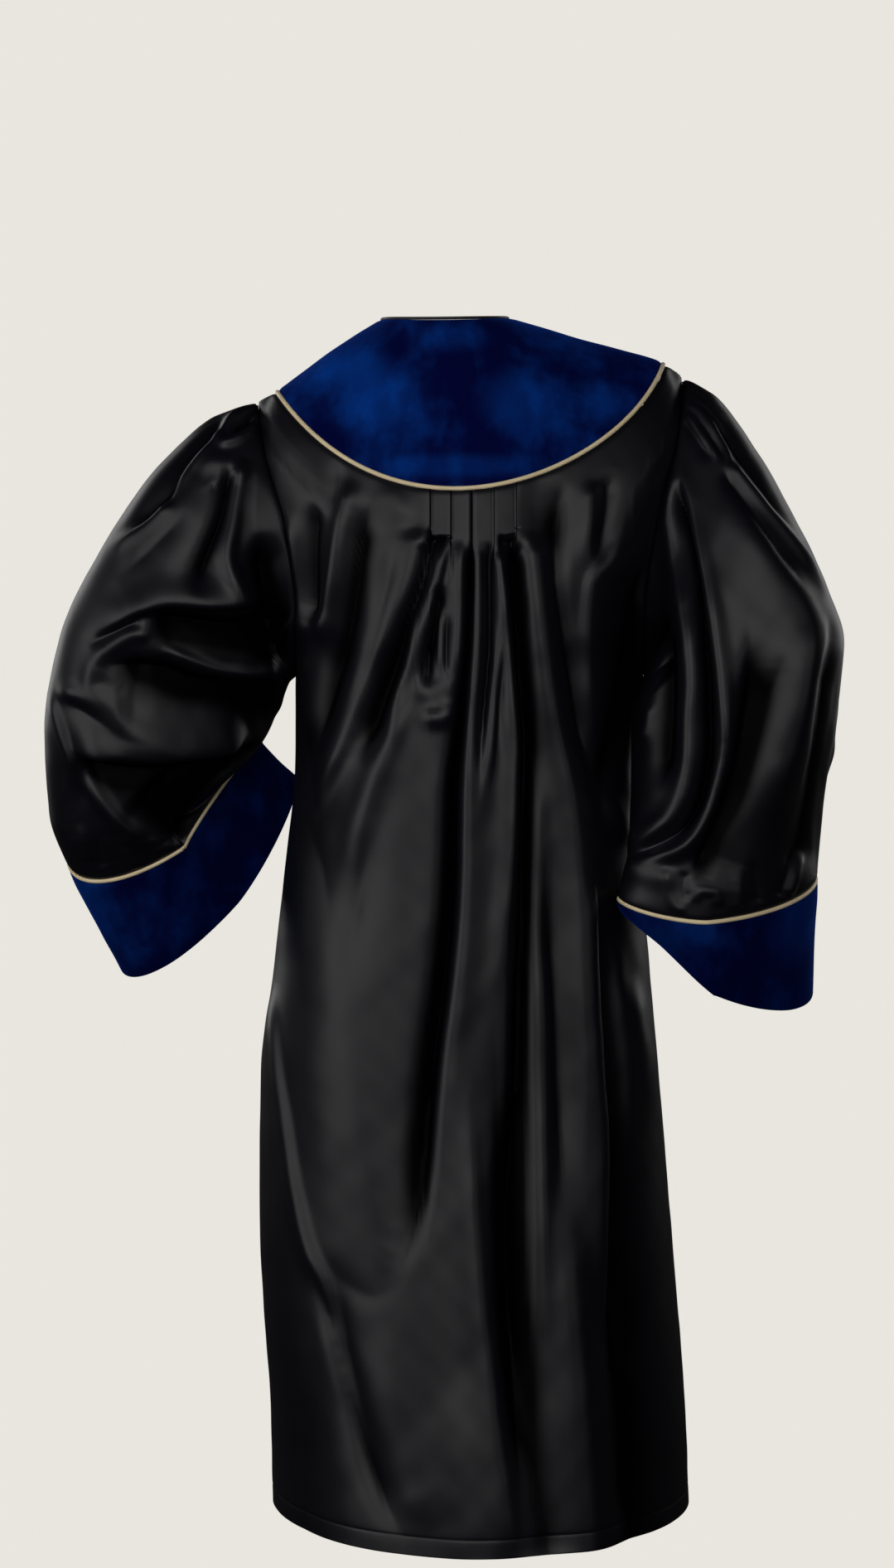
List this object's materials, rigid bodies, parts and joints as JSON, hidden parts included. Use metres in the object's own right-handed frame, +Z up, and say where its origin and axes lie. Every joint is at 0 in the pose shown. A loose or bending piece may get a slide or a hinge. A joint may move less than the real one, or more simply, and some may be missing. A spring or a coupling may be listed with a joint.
{
  "type": "judicial robe",
  "caption": "Worn judicial robe with a round velvet yoke, stitched centre-back pleats, wide bell sleeves and deep velvet cuffs edged with piping.",
  "frame": {"origin": "level with the nape between the shoulders, on the line of the centre-back pleats, where the wearer's shoulders hold the robe up", "axes": "+Z up along the robe's length, +Y towards the back, +X towards the wearer's left"},
  "size_m": [0.7385, 0.3921, 1.1014],
  "materials": {
    "black_satin": "satin",
    "blue_velvet": "velvet",
    "gold_piping": "satin",
    "black_binding": "satin"
  },
  "bodies": {
    "root": {"back_panel": "black_satin", "front_left": "black_satin", "front_right": "black_satin", "sleeve_left": "black_satin", "sleeve_right": "black_satin", "yoke_back": "blue_velvet", "yoke_front_left": "blue_velvet", "yoke_front_right": "blue_velvet", "cuff_left": "blue_velvet", "cuff_right": "blue_velvet", "piping_yoke": "gold_piping", "piping_cuff_left": "gold_piping", "piping_cuff_right": "gold_piping", "neck_binding": "black_binding"}
  },
  "joints": []
}
